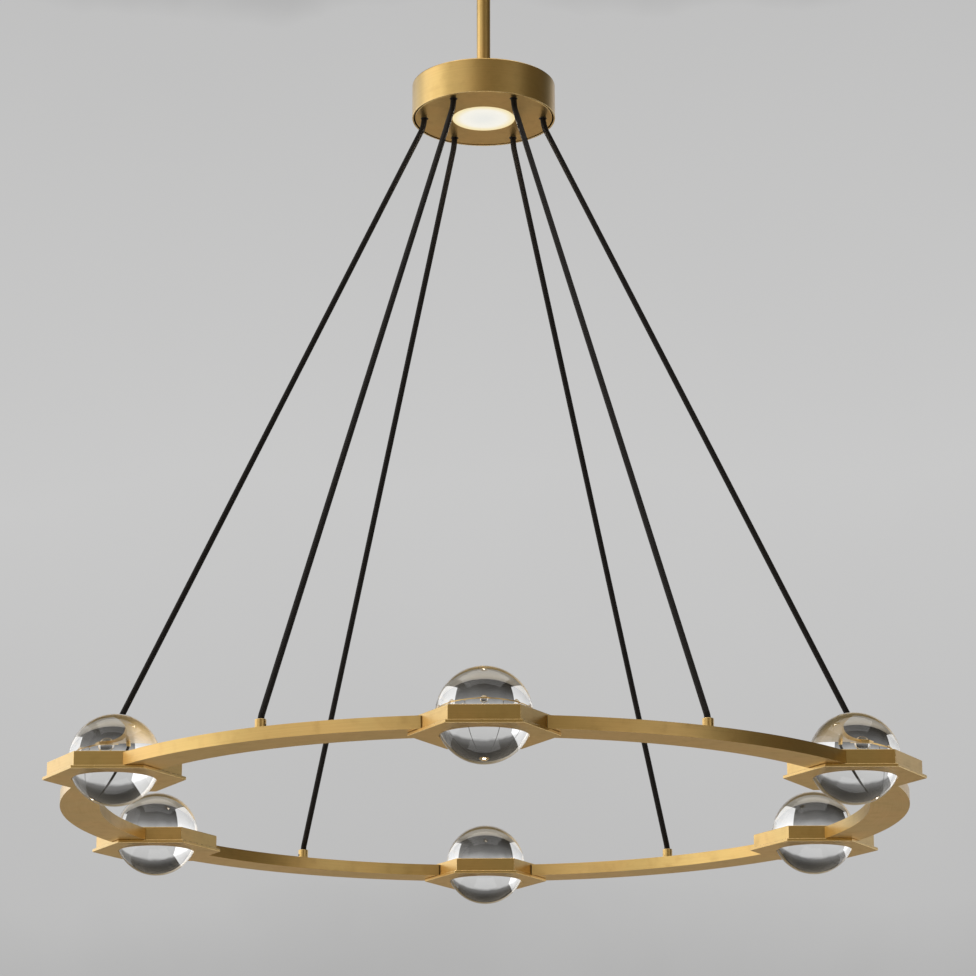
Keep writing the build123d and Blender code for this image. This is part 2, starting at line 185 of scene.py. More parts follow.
# %% [markdown]
# Materials are written as sums. A signal is one output of a shader node; adding or multiplying
# signals adds Math nodes, so a pattern reads like the formula that it is.


# %% Signals
class Signal:
    """One output of a shader node."""

    def __init__(self, recipe, socket):
        self.recipe = recipe
        self.socket = socket

    def math(self, operation, first, second):
        inputs = {0: first, 1: second}
        return self.recipe.node("ShaderNodeMath", {"operation": operation}, inputs)

    def __add__(self, other):
        return self.math("ADD", self, other)

    def __radd__(self, other):
        return self.math("ADD", other, self)

    def __sub__(self, other):
        return self.math("SUBTRACT", self, other)

    def __rsub__(self, other):
        return self.math("SUBTRACT", other, self)

    def __mul__(self, other):
        return self.math("MULTIPLY", self, other)

    def __rmul__(self, other):
        return self.math("MULTIPLY", other, self)

    def __truediv__(self, other):
        return self.math("DIVIDE", self, other)

    def __rtruediv__(self, other):
        return self.math("DIVIDE", other, self)

    def __pow__(self, other):
        return self.math("POWER", self, other)


# %% [markdown]
# A recipe is one material in the making. Every node is added in the same way: its kind, its
# settings, and the values or links of its sockets. Short helpers name the nodes that come back
# often, so that each finish below takes a few lines only.


# %% Recipes
class Recipe:
    """One material, or the world: a shader's fixed values, and the nodes that feed it."""

    def __init__(self, name, fixed, world=None):
        self.material = world or bpy.data.materials.new(name)
        self.material.use_nodes = True
        self.tree = self.material.node_tree
        self.shader = self.tree.nodes["Background" if world else "Principled BSDF"]
        for socket, value in fixed.items():
            self.shader.inputs[socket].default_value = value

    def node(self, kind, settings, inputs, output=0):
        """Adds a node: its settings first, then the values or links of its sockets."""
        made = self.tree.nodes.new(kind)
        for key, value in settings.items():
            if key == "stops":
                self.set_stops(made.color_ramp.elements, value)
            else:
                setattr(made, key, value)
        for socket, value in inputs.items():
            if isinstance(value, Signal):
                self.tree.links.new(value.socket, made.inputs[socket])
            else:
                made.inputs[socket].default_value = value
        return Signal(self, made.outputs[output])

    def set_stops(self, elements, stops):
        """Moves a ramp's two stops to the first and the last, and adds those between."""
        elements[0].position, elements[1].position = stops[0][0], stops[-1][0]
        ends = [elements[0], elements[1]]
        ends[0].color, ends[1].color = (*stops[0][1], 1), (*stops[-1][1], 1)
        for place, colour in stops[1:-1]:
            elements.new(place).color = (*colour, 1)

    def feed(self, socket, signal):
        """Links a signal to one of the shader's own sockets."""
        self.tree.links.new(signal.socket, self.shader.inputs[socket])

    def place(self):
        """The place on the piece, in metres from the lamp's own origin."""
        return self.node("ShaderNodeTexCoord", {}, {}, "Object")

    def split(self, vector):
        """A vector's three parts, each a signal."""
        return [self.node("ShaderNodeSeparateXYZ", {}, {0: vector}, i) for i in range(3)]

    def join(self, x, y, z):
        """A vector of three signals."""
        return self.node("ShaderNodeCombineXYZ", {}, {0: x, 1: y, 2: z})

    def noise(self, vector, scale, detail=3):
        """Soft random tones, with about as many spots in a metre as the scale says."""
        inputs = {"Vector": vector, "Scale": scale, "Detail": detail}
        return self.node("ShaderNodeTexNoise", {}, inputs)

    def ramp(self, factor, *stops):
        """Colours by factor: each stop is a place from 0 to 1 and a colour."""
        return self.node("ShaderNodeValToRGB", {"stops": stops}, {0: factor})

    def span(self, signal, low, high, to_low, to_high):
        """The signal's stretch from low to high, moved to another stretch and held there."""
        return self.node(
            "ShaderNodeMapRange", {}, {0: signal, 1: low, 2: high, 3: to_low, 4: to_high}
        )

    def blend(self, factor, first, second):
        """A mix of two colours."""
        return self.node(
            "ShaderNodeMix", {"data_type": "RGBA"}, {0: factor, 6: first, 7: second}, 2
        )

    def bump(self, height, strength, depth):
        """Raises the surface where the signal is bright, without new geometry."""
        bumped = {"Height": height, "Strength": strength, "Distance": depth}
        self.feed("Normal", self.node("ShaderNodeBump", {}, bumped))


# %% [markdown]
# Brushed brass is metal with fine lines in it, all the same way. On the hub, the stem and the
# arms the lines run round the lamp's axis, so the noise is squeezed across that axis and long
# round it. A slower noise gives the uneven, lightly aged tone, and a clear lacquer lies on top.

# %% Brass
brass_warm = (0.78, 0.515, 0.175, 1)
brass_olive = (0.72, 0.505, 0.175, 1)
brass_brown = (0.50, 0.30, 0.08, 1)
# The pale edge tone is partly wear and partly a painted highlight along each bevel.
worn_highlight_brass = (0.92, 0.74, 0.42, 1)
metal = {"Metallic": 1}
lacquer = {**metal, "Coat Weight": 0.6, "Coat Roughness": 0.26, "Coat IOR": 1.6}
fine_brush = (1900, 11)
broad_brush = (520, 5)
fine_share = 0.65


def age(recipe, lines, roughness):
    """Feeds the aged tone, the uneven gloss and the fine lines of brass."""
    slow = recipe.noise(recipe.place(), 11, 2)
    spots = recipe.noise(recipe.place(), 60, 3)
    tone = recipe.blend(recipe.span(slow, 0.38, 0.62, 0, 1), brass_warm, brass_olive)
    dark = recipe.span(spots, 0.5, 0.75, 0, 0.3) + recipe.span(lines, 0.45, 0.65, 0, 0.22)
    recipe.feed("Base Color", recipe.blend(dark, tone, brass_brown))
    recipe.feed("Roughness", lines * 0.14 + spots * 0.08 + (roughness - 0.11))
    recipe.bump(lines, 0.22, 0.00004)


def round_lines(recipe, across, along):
    """Lines that run round the Z axis, with no seam."""
    x, y, z = recipe.split(recipe.place())
    radius = (x * x + y * y) ** 0.5
    stretched = {
        "Vector": recipe.join(x * along, y * along, z * across),
        "W": radius * across,
        "Scale": 1,
        "Detail": 3,
    }
    return recipe.node("ShaderNodeTexNoise", {"noise_dimensions": "4D"}, stretched)


def face_lines(recipe, across, along):
    """Lines along each flat face, from the piece's own unwrapping in metres."""
    flat = recipe.node("ShaderNodeTexCoord", {}, {}, "UV")
    u, v, _ = recipe.split(flat)
    return recipe.noise(recipe.join(u * along, v * across, 0), 1, 3)


def brushed(name, lines, roughness):
    """Brass with fine brush lines and, fainter, the broader streaks of the brush."""
    recipe = Recipe(name, lacquer)
    fine, broad = lines(recipe, *fine_brush), lines(recipe, *broad_brush)
    age(recipe, fine * fine_share + broad * (1 - fine_share), roughness)
    return recipe


ring_brass = brushed("ring_brass", round_lines, 0.35)
turned_brass = brushed("turned_brass", round_lines, 0.33)
face_brass = brushed("face_brass", face_lines, 0.35)
print("brass: round lines and straight lines,", fine_brush[0], "to the metre")

# %% [markdown]
# Hands and cloths polish an edge first, so a bevelled edge is brighter and smoother than the
# face beside it, and its paler colour is also a painted highlight along the edge. The bevel's
# own faces get this second finish.

# %% Worn edges
edge_brass = Recipe("edge_brass", metal)
worn_and_highlighted = edge_brass.noise(edge_brass.place(), 120, 3)
# Painted highlight: the bevels take a paler brass, as wear and as the glint along an edge.
edge_brass.feed("Base Color", edge_brass.blend(worn_and_highlighted, worn_highlight_brass, brass_warm))
edge_brass.feed("Roughness", edge_brass.span(worn_and_highlighted, 0.3, 0.7, 0.18, 0.34))
print("worn edges:", len(edge_brass.tree.nodes), "nodes")

# %% [markdown]
# The opposite happens in the joint between an arm and a holder, which no cloth reaches: lacquer
# and dust stay in it and turn it dark brown.

# %% Seams
seam_brass = Recipe("seam_brass", metal)
dust = seam_brass.noise(seam_brass.place(), 240, 3)
grime, thin_grime = (0.05, 0.03, 0.012), (0.13, 0.08, 0.03)
seam_brass.feed("Base Color", seam_brass.ramp(dust, (0.3, grime), (0.7, thin_grime)))
seam_brass.feed("Roughness", seam_brass.span(dust, 0.3, 0.7, 0.5, 0.7))
print("dark seams:", len(seam_brass.tree.nodes), "nodes")

# %% [markdown]
# Polished crystal is clear all through and bends light strongly. It needs no colour of its own:
# what it shows is the room, upside down. Faint wiping marks keep it from looking computed.

# %% Crystal
crystal_bend = 1.52
crystal_tint = (0.985, 0.99, 0.99, 1)
crystal = Recipe(
    "crystal", {"IOR": crystal_bend, "Transmission Weight": 1, "Base Color": crystal_tint}
)
wiped = crystal.noise(crystal.place(), 38, 4)
crystal.feed("Roughness", crystal.span(wiped, 0.45, 0.8, 0, 0.02))
print("crystal with a refractive index of", crystal_bend)

# %% [markdown]
# The cable's sleeve is braided: two sets of dark threads cross on the slant. The curve's own
# unwrapping runs along it and round it, so the two slants are a sum and a difference.

# %% Braided sleeve
threads_round = 12
threads_along = 420
thread_dark, thread_light = (0.002, 0.002, 0.002), (0.012, 0.009, 0.008)
sleeve = {"Sheen Weight": 0.06, "Sheen Roughness": 0.5, "Specular IOR Level": 0.25}
braid = Recipe("braid", sleeve)
u, v, _ = braid.split(braid.node("ShaderNodeTexCoord", {}, {}, "UV"))


def thread(recipe, phase):
    """A row of rounded ridges, from 0 to 1."""
    wave = recipe.node("ShaderNodeMath", {"operation": "SINE"}, {0: phase * math.tau})
    return wave * 0.5 + 0.5


slant_one = thread(braid, u * threads_along + v * threads_round)
slant_two = thread(braid, u * threads_along - v * threads_round)
weave = braid.node("ShaderNodeMath", {"operation": "MAXIMUM"}, {0: slant_one, 1: slant_two})
braid.feed("Base Color", braid.ramp(weave, (0.1, thread_dark), (1, thread_light)))
braid.feed("Roughness", 0.85 - weave * 0.2)
braid.bump(weave, 0.6, 0.0003)
for cable in cables:
    cable.data.materials.append(braid.material)
print("braid on", len(cables), "cables")

# %% [markdown]
# The lens is opal plastic, lit from behind. It is whitest in the middle and turns warm at its
# rim, where the light comes through at a slant.

# %% Lit lens
lens_strength = 0.78
lens_plastic = {"Base Color": (0.35, 0.34, 0.3, 1), "Roughness": 0.4}
lens_glow = Recipe("lens_glow", {**lens_plastic, "Emission Strength": lens_strength})
x, y, _ = lens_glow.split(lens_glow.place())
out = (x * x + y * y) ** 0.5 / lens_radius
ripple = lens_glow.noise(lens_glow.place(), 60, 2) * 0.06
lens_glow.feed(
    "Emission Color",
    lens_glow.ramp(
        out + ripple,
        (0.2, (0.84, 0.86, 0.84)),
        (0.72, (0.96, 0.95, 0.88)),
        (1.0, (0.95, 0.80, 0.42)),
    ),
)
print("lens glows at", lens_strength)

# %% [markdown]
# Each holder hides a strip of small warm lights in its bore. It lights the crystal's edge, so
# the strip glows between its lights as well as at them.

# %% Light strips
strip_strength = 0.5
strip_board = (0.8, 0.76, 0.66, 1)
between_lights, at_lights = (0.75, 0.55, 0.32), (1.0, 0.86, 0.62)
strip_glow = Recipe(
    "strip_glow", {"Base Color": strip_board, "Emission Strength": strip_strength}
)
beads = strip_glow.noise(strip_glow.place(), 140, 2)
strip_glow.feed(
    "Emission Color", strip_glow.ramp(beads, (0.35, between_lights), (0.65, at_lights))
)
print("light strips glow at", strip_strength)

# %% [markdown]
# Inside pieces show only from above or through gaps, but each still has its own finish: zinc,
# blackened steel, cast and spun aluminium, nylon, white plastic, board and clear silicone.


# %% Plain finishes
def plain_finish(name, first, second, scale, roughness, fixed):
    """A finish of two close tones, with grain in its gloss."""
    recipe = Recipe(name, fixed)
    grain = recipe.noise(recipe.place(), scale, 4)
    recipe.feed("Base Color", recipe.blend(grain, (*first, 1), (*second, 1)))
    recipe.feed("Roughness", recipe.span(grain, 0.3, 0.7, roughness - 0.08, roughness + 0.08))
    recipe.bump(grain, 0.15, 0.0001)
    return recipe


cloudy = {"Transmission Weight": 0.5}
plain = {
    "zinc_steel": ("zinc", (0.62, 0.62, 0.6), (0.5, 0.52, 0.5), 160, 0.38, metal),
    "dark_steel": ("dark_steel", (0.1, 0.1, 0.1), (0.05, 0.05, 0.05), 400, 0.45, metal),
    "cast_aluminium": ("cast", (0.55, 0.56, 0.57), (0.44, 0.45, 0.46), 500, 0.5, metal),
    "bright_aluminium": ("spun", (0.86, 0.86, 0.85), (0.76, 0.76, 0.76), 90, 0.15, metal),
    "black_nylon": ("nylon", (0.02, 0.02, 0.02), (0.035, 0.034, 0.033), 300, 0.5, {}),
    "white_plastic": ("white", (0.78, 0.77, 0.74), (0.7, 0.69, 0.66), 220, 0.45, {}),
    "white_board": ("board", (0.85, 0.82, 0.72), (0.75, 0.7, 0.55), 350, 0.4, {}),
    "clear_silicone": ("silicone", (0.75, 0.75, 0.73), (0.65, 0.65, 0.64), 200, 0.35, cloudy),
}
finishes = {
    "brushed_brass": turned_brass,
    "turned_brass": turned_brass,
    "opal_lens": lens_glow,
    "crystal": crystal,
    "black_fabric": braid,
    **{slot: plain_finish(*look) for slot, look in plain.items()},
}
slot_of = {row["node"]: row["material_slot"] for row in frame["record"]["subparts"]}
for name, node in frame["nodes"].items():
    finish = strip_glow if name == "light_strips" else finishes[slot_of[name]]
    node.data.materials.clear()
    node.data.materials.append(finish.material)
print("finishes:", len(finishes), "on", len(frame["nodes"]), "nodes")

# %% [markdown]
# Every modelled piece ends the same way: its mesh goes into an object at the origin, rides on
# its body, and stands for its node. Faces are smooth, edges that are meant to be sharp stay
# sharp, and weighted normals keep the flats flat beside a bevel.

# %% Finishing a piece
bevel_steps = 3
sharp_angle = math.radians(40)
crease_angle = math.radians(25)
same_spot = 1e-6
turn_steps = 128
small_turn_steps = 48


def round_edges(bm, edges, width, steps):
    """Rounds edges and gives back the new faces along them."""
    made = bmesh.ops.bevel(
        bm,
        geom=edges,
        offset=width,
        segments=steps,
        affect="EDGES",
        profile=0.5,
        material=-1,
        clamp_overlap=True,
    )
    return made["faces"]


def bevel_sharp(bm, width, angle=crease_angle):
    """Rounds the sharp edges and gives their faces the second finish."""
    sharp = [e for e in bm.edges if len(e.link_faces) == 2 and e.calc_face_angle() > angle]
    for face in round_edges(bm, sharp, width, bevel_steps):
        face.material_index = 1
    return len(sharp)


unsealed = []


def finish_piece(name, bm, materials, body, nodes):
    """Makes a shape an object on its body, and notes it if it isn't closed."""
    mesh = bpy.data.meshes.new(name)
    bmesh.ops.recalc_face_normals(bm, faces=bm.faces)
    if any(len(edge.link_faces) != 2 for edge in bm.edges):
        unsealed.append(name)
    bm.to_mesh(mesh)
    bm.free()
    for recipe in materials:
        mesh.materials.append(recipe.material)
    mesh.shade_smooth()
    mesh.set_sharp_from_angle(angle=sharp_angle)
    piece = add_object(name, mesh)
    evening = piece.modifiers.new("even_normals", "WEIGHTED_NORMAL")
    evening.keep_sharp = True
    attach(piece, body)
    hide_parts(*nodes)
    return piece


def spin_profile(bm, profile, steps=turn_steps, closed=True):
    """Turns an outline of (radius, height) points about the Z axis."""
    points = [bm.verts.new((radius, 0, height)) for radius, height in profile]
    ahead = points[1:] + points[:1] if closed else points[1:]
    edges = [bm.edges.new(pair) for pair in zip(points, ahead)]
    bmesh.ops.spin(
        bm,
        geom=points + edges,
        cent=(0, 0, 0),
        axis=(0, 0, 1),
        angle=math.tau,
        steps=steps,
        dvec=(0, 0, 0),
        use_merge=True,
    )
    bmesh.ops.remove_doubles(bm, verts=bm.verts, dist=same_spot)


print("pieces are bevelled in", bevel_steps, "steps and turned in", turn_steps)

# %% [markdown]
# A ball is one smooth sphere. Only its outside exists, because clear glass is solid to light.

# %% Crystal balls
slices, bands = 160, 80
for number, angle in enumerate(ball_angles, start=1):
    bm = bmesh.new()
    bmesh.ops.create_uvsphere(bm, u_segments=slices, v_segments=bands, radius=ball_radius)
    bmesh.ops.translate(bm, vec=polar(angle, ring_radius, ball_centre), verts=bm.verts)
    finish_piece(
        f"orb_{number}", bm, [crystal], f"ball_{number}", [f"crystal_ball_{number}"]
    )
print("balls:", places)

# %% [markdown]
# A holder is a hexagonal block with a round bore, and a wider, thinner hexagon under it. Both
# are made as on a bench: a thick ring is turned with its bore, and six flats are sawn off its
# rim. Each cut is closed at once, so the block stays solid, and no face can cross the bore, as
# it can when a hexagon and a circle are bridged.

# %% Holders
bore_steps = 96
groove_depth = 0.003
groove_height = 0.007
groove_drop = 0.003
plate_ball_gap = 0.0005
edge_width = 0.0007
flat_angle = math.radians(0.2)
rim_spare = 1.05
cut_reach = 1e-7
level_slope = 0.7
line_shifts = (0.31, 0.17)


def everything(bm):
    """All that a bmesh holds, as the cutting and mirroring operators want it."""
    return bm.verts[:] + bm.edges[:] + bm.faces[:]


def cut_flat(bm, spot, normal, **clearing):
    """Cuts along a plane and gives back the cut's own edges."""
    cut = bmesh.ops.bisect_plane(
        bm, geom=everything(bm), dist=cut_reach, plane_co=spot, plane_no=normal, **clearing
    )
    return [e for e in cut["geom_cut"] if isinstance(e, bmesh.types.BMEdge)]


def hexagon_block(bore, corner):
    """A hexagon with two corners on the Y axis, round a bore outline that runs from the top."""
    bm = bmesh.new()
    rim = rim_spare * corner
    spin_profile(bm, bore + [(rim, bore[-1][1]), (rim, bore[0][1])], steps=bore_steps)
    flat = corner * math.cos(place_step / 2)
    for side in range(places):
        normal = polar(side * place_step, 1, 0)
        sawn = cut_flat(bm, normal * flat, normal, clear_outer=True)
        bmesh.ops.edgenet_fill(bm, edges=sawn)
    bmesh.ops.recalc_face_normals(bm, faces=bm.faces)
    bmesh.ops.dissolve_limit(bm, angle_limit=flat_angle, verts=bm.verts, edges=bm.edges)
    return bm


def brush_uv(bm):
    """Unwraps each face in metres, with U along the brushing, shifted from face to face."""
    layer = bm.loops.layers.uv.new("UVMap")
    up = Vector((0, 0, 1))
    shift_x, shift_y = line_shifts
    for face in bm.faces:
        level = abs(face.normal.z) > level_slope
        along = Vector((0, 1, 0)) if level else up.cross(face.normal).normalized()
        across = Vector((1, 0, 0)) if level else up
        shift = shift_x * round(4 * face.normal.x) + shift_y * round(4 * face.normal.y)
        for loop in face.loops:
            loop[layer].uv = (loop.vert.co.dot(along) + shift, loop.vert.co.dot(across))


def settle(bm, angle):
    """Moves a piece from its own middle out to its place on the ring."""
    out = Matrix.Rotation(angle, 4, "Z") @ Matrix.Translation((ring_radius, 0, 0))
    bmesh.ops.transform(bm, matrix=out, verts=bm.verts)


def holder_bore():
    """Straight wall with a shallow groove for the light strip."""
    deep = bore_radius + groove_depth
    high = body_top - groove_drop
    low = high - groove_height
    return [
        (bore_radius, body_top),
        (bore_radius, high),
        (deep, high),
        (deep, low),
        (bore_radius, low),
        (bore_radius, body_low),
    ]


def plate_bore():
    """The plate's hole follows the ball a small gap away."""
    reach = ball_radius + plate_ball_gap
    heights = [plate_top, (plate_top + plate_low) / 2, plate_low]
    return [(math.sqrt(reach**2 - (ball_centre - h) ** 2), h) for h in heights]


for number, angle in enumerate(ball_angles, start=1):
    for kind, bore, corner in (
        ("body", holder_bore(), body_corner),
        ("plate", plate_bore(), plate_corner),
    ):
        bm = hexagon_block(bore, corner)
        bevelled = bevel_sharp(bm, edge_width)
        brush_uv(bm)
        settle(bm, angle)
        finish_piece(
            f"{kind}_{number}",
            bm,
            [face_brass, edge_brass],
            "pendant",
            [f"holder_{kind}_{number}"],
        )
print("holders:", places, "with", bevelled, "bevelled edges on a plate")

# %% [markdown]
# Two screws join each holder and its plate. A head is turned first; then the circle of its
# socket is pressed out to a hexagon, so the rim round it stays one flat ring.

# %% Holder screws
screw_circle = 0.072
screw_turns = (place_step / 2, place_step / 2 + math.pi)
screw_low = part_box("holder_screws")[0].z
head_proud = 0.0003
head_radius, head_depth = 0.004, 0.002
shank_radius = 0.002
socket_flat, socket_depth = 0.0013, 0.0014
socket_angle = math.radians(50)


def socket_screw():
    """One screw on the Z axis, with a hexagonal socket in its head."""
    head_top = body_top + head_proud
    neck = body_top - head_depth
    bm = bmesh.new()
    spin_profile(
        bm,
        [
            (0, screw_low),
            (shank_radius, screw_low),
            (shank_radius, neck),
            (head_radius, neck),
            (head_radius, head_top),
            (socket_flat, head_top),
            (socket_flat, head_top - socket_depth),
            (0, head_top - socket_depth),
        ],
        steps=small_turn_steps,
        closed=False,
    )
    for vert in bm.verts:
        out = math.hypot(vert.co.x, vert.co.y)
        if abs(out - socket_flat) < same_spot:
            turn = math.atan2(vert.co.y, vert.co.x) % place_step - place_step / 2
            pressed = Vector((vert.co.x, vert.co.y, 0)) / math.cos(turn)
            vert.co = pressed + Vector((0, 0, vert.co.z))
    bmesh.ops.recalc_face_normals(bm, faces=bm.faces)
    bevel_sharp(bm, head_proud / 2, socket_angle)
    return bm


def gather(parts):
    """Joins meshes into one and empties them."""
    whole = bmesh.new()
    for bm in parts:
        part = bpy.data.meshes.new("part")
        bm.to_mesh(part)
        bm.free()
        whole.from_mesh(part)
        bpy.data.meshes.remove(part)
    return whole


heads = []
for angle in ball_angles:
    for turn in screw_turns:
        head = socket_screw()
        bmesh.ops.translate(head, vec=polar(turn, screw_circle, 0), verts=head.verts)
        settle(head, angle)
        heads.append(head)
finish_piece(
    "screws",
    gather(heads),
    [turned_brass, edge_brass],
    "pendant",
    ["holder_screws"],
)
print("holder screws:", len(heads))

# %% [markdown]
# An arm is a flat bar bent round the ring. Half of it is spun from a small rectangle, cut by
# the two sides of the holder that it meets, and closed there. The half is then mirrored.

# %% Arms
arm_steps = 30
holder_flat = body_corner * math.cos(place_step / 2)
seam_width = 0.0014
seam_steps = 6
side_reach = 1e-5


def notch_sides():
    """The two planes of a holder's corner that points back along the arm."""
    centre = polar(place_step / 2, ring_radius, 0)
    turns = (-place_step, -2 * place_step)
    normals = [polar(place_step / 2 + turn, 1, 0) for turn in turns]
    return [(centre + normal * holder_flat, normal) for normal in normals]


def half_arm():
    """The bar from its middle to the holder, open where the holder's corner cuts it."""
    bm = bmesh.new()
    inner, outer = ring_radius - arm_half_width, ring_radius + arm_half_width
    section = [(inner, arm_low), (outer, arm_low), (outer, arm_top), (inner, arm_top)]
    points = [bm.verts.new((radius, 0, height)) for radius, height in section]
    edges = [bm.edges.new(pair) for pair in zip(points, points[1:] + points[:1])]
    bmesh.ops.spin(
        bm,
        geom=points + edges,
        cent=(0, 0, 0),
        axis=(0, 0, 1),
        angle=place_step / 2,
        steps=arm_steps,
        dvec=(0, 0, 0),
        use_merge=False,
    )
    sides = notch_sides()
    for spot, normal in sides:
        cut_flat(bm, spot, normal)
    inside = [
        f
        for f in bm.faces
        if all((f.calc_center_median() - spot).dot(normal) < 0 for spot, normal in sides)
    ]
    bmesh.ops.delete(bm, geom=inside, context="FACES")
    return bm, sides


def close_notch(bm, sides):
    """Closes the cut end with two walls that meet at the notch's corner."""
    open_edges = [e for e in bm.edges if e.is_boundary]
    rim = [e for e in open_edges if min(v.co.y for v in e.verts) > arm_half_width]
    corner = [
        v
        for v in {v for e in rim for v in e.verts}
        if all(abs((v.co - spot).dot(normal)) < same_spot for spot, normal in sides)
    ]
    rim.append(bm.edges.new(corner))
    bmesh.ops.edgenet_fill(bm, edges=rim)


arm_bm, arm_sides = half_arm()
close_notch(arm_bm, arm_sides)
bmesh.ops.mirror(
    arm_bm,
    geom=everything(arm_bm),
    matrix=Matrix.Identity(4),
    merge_dist=same_spot,
    axis="Y",
)
bmesh.ops.recalc_face_normals(arm_bm, faces=arm_bm.faces)
bmesh.ops.dissolve_limit(
    arm_bm, angle_limit=flat_angle, verts=arm_bm.verts, edges=arm_bm.edges
)
print("one arm has", len(arm_bm.faces), "faces before its edges are rounded")

# %% [markdown]
# The arm's edges on the holder are rounded first and wider, and take the seam's dark finish.
# All other edges are narrow, bright with wear and with a painted highlight. One arm is made so,
# and turned copies are the six.


# %% Seams and copies of the arm
def on_notch(edge, sides):
    """Whether an edge lies on a holder's side, at either end of the arm."""
    spots = [Vector((v.co.x, abs(v.co.y), v.co.z)) for v in edge.verts]
    return any(all(abs((s - p).dot(normal)) < side_reach for s in spots) for p, normal in sides)


rims = [
    edge
    for edge in arm_bm.edges
    if edge.calc_face_angle() > crease_angle and on_notch(edge, arm_sides)
]
for face in round_edges(arm_bm, rims, seam_width, seam_steps):
    face.material_index = 2
arm_edges = bevel_sharp(arm_bm, edge_width)
for number, angle in enumerate(arm_angles, start=1):
    bm = arm_bm.copy()
    bmesh.ops.rotate(bm, cent=(0, 0, 0), matrix=Matrix.Rotation(angle, 3, "Z"), verts=bm.verts)
    finish_piece(
        f"bar_{number}",
        bm,
        [ring_brass, edge_brass, seam_brass],
        "pendant",
        [f"arm_{number}"],
    )
print("arms:", places, "with", arm_edges, "worn edges and", len(rims), "seam edges")
arm_bm.free()

# %% [markdown]
# The hub is turned on a lathe: a drum with a rounded top edge, open underneath. The plate in
# it is the frame's own, because it has the real holes for the cables. The gap between the two
# stays open and draws the dark line round the plate.

# %% Hub and stem
turned_edge = 0.0008
stem_low, stem_high = levels("stem_tube")
hub_hole = 0.0051
drum_round = 0.002
round_steps = 5


def rounded_corner(radius, height):
    """Points from the top face over a round edge to the side."""
    turns = [math.pi / 2 * (1 - i / round_steps) for i in range(round_steps + 1)]
    back, down = radius - drum_round, height - drum_round
    return [(back + drum_round * math.cos(t), down + drum_round * math.sin(t)) for t in turns]


def turned(profile, width, steps=turn_steps):
    """A turned shape with its sharp edges rounded."""
    bm = bmesh.new()
    spin_profile(bm, profile, steps)
    bmesh.ops.recalc_face_normals(bm, faces=bm.faces)
    bevel_sharp(bm, width)
    return bm


def brass_piece(name, profile, node, width):
    """A turned brass piece that stands for one node."""
    bm = turned(profile, width)
    finish_piece(name, bm, [turned_brass, edge_brass], "pendant", [node])


drum = [
    (hub_hole, hub_top),
    *rounded_corner(hub_radius, hub_top),
    (hub_radius, hub_rim),
    (hub_radius - hub_wall, hub_rim),
    (hub_radius - hub_wall, hub_top - hub_wall),
    (hub_hole, hub_top - hub_wall),
]
brass_piece("drum", drum, "hub_housing", turned_edge)
tube = [
    (stem_radius, stem_high),
    (stem_radius, stem_low),
    (hub_hole, stem_low),
    (hub_hole, stem_high),
]
brass_piece("stem", tube, "stem_tube", turned_edge / 2)
print("hub drum", hub_radius, "stem", round(stem_high - stem_low, 3))

# %% [markdown]
# The lens is a round of opal plastic, flush with the plate. Its wider lip rests on the plate's
# upper side. It is turned like the drum, from half of its outline.

# %% Lens
lens_low, lens_high = levels("diffuser")
lens_lip = 0.047
lens_gap = 0.0002
lens_face = lens_radius - lens_gap
bm = bmesh.new()
spin_profile(
    bm,
    [
        (0, lens_low),
        (lens_face, lens_low),
        (lens_face, hub_plate_top),
        (lens_lip, hub_plate_top),
        (lens_lip, lens_high),
        (0, lens_high),
    ],
    closed=False,
)
lens = finish_piece("lens", bm, [lens_glow], "pendant", ["diffuser"])
print(f"lens {2 * lens_face:.4f} m across")

# %% [markdown]
# Each cable leaves the plate through a black bushing, flush with the plate, and enters the
# ring through a small turned collar.

# %% Bushings and collars
bushing_radius = 0.0055
bushing_edge = 0.00025
bushing_bore = cable_radius + bushing_edge
collar_bore = cable_radius + 0.0005
collar_low = arm_top
collar_high = levels("cable_collars")[1]


def ring_of(profile, radius, width):
    """One mesh with a turned copy at each cable."""
    copies = []
    for angle in arm_angles:
        bm = turned(profile, width, small_turn_steps)
        bmesh.ops.translate(bm, vec=polar(angle, radius, 0), verts=bm.verts)
        copies.append(bm)
    return gather(copies)


grommet = [
    (bushing_bore, hub_plate_top),
    (bushing_radius, hub_plate_top),
    (bushing_radius, hub_plate_low),
    (bushing_bore, hub_plate_low),
]
nylon = finishes["black_nylon"]
finish_piece(
    "grommets",
    ring_of(grommet, cable_circle, bushing_edge),
    [nylon, nylon],
    "pendant",
    ["cable_bushings"],
)
collar = [
    (collar_bore, collar_high),
    (collar_radius, collar_high),
    (collar_radius, collar_low),
    (collar_bore, collar_low),
]
finish_piece(
    "collars",
    ring_of(collar, ring_radius, turned_edge),
    [turned_brass, edge_brass],
    "pendant",
    ["cable_collars"],
)
print("bushings and collars:", 2 * places)

# %% [markdown]
# The canopy is a spun cup with a soft corner, held by two domed nuts.

# %% Canopy
canopy_low, canopy_high = levels("canopy")
canopy_radius = 0.075
canopy_wall = 0.0015
canopy_hole = 0.0143
canopy_corner = 0.006
canopy_steps = 8
rim_reach = 1e-4
bm = bmesh.new()
spin_profile(
    bm,
    [
        (canopy_hole, canopy_low),
        (canopy_radius, canopy_low),
        (canopy_radius, canopy_high),
        (canopy_radius - canopy_wall, canopy_high),
        (canopy_radius - canopy_wall, canopy_low + canopy_wall),
        (canopy_hole, canopy_low + canopy_wall),
    ],
)
bmesh.ops.recalc_face_normals(bm, faces=bm.faces)


def on_corner(vert):
    """Whether a point lies on the outer rim of the canopy's lowest face."""
    lowest = abs(vert.co.z - canopy_low) < cut_reach
    return lowest and math.hypot(vert.co.x, vert.co.y) > canopy_radius - rim_reach


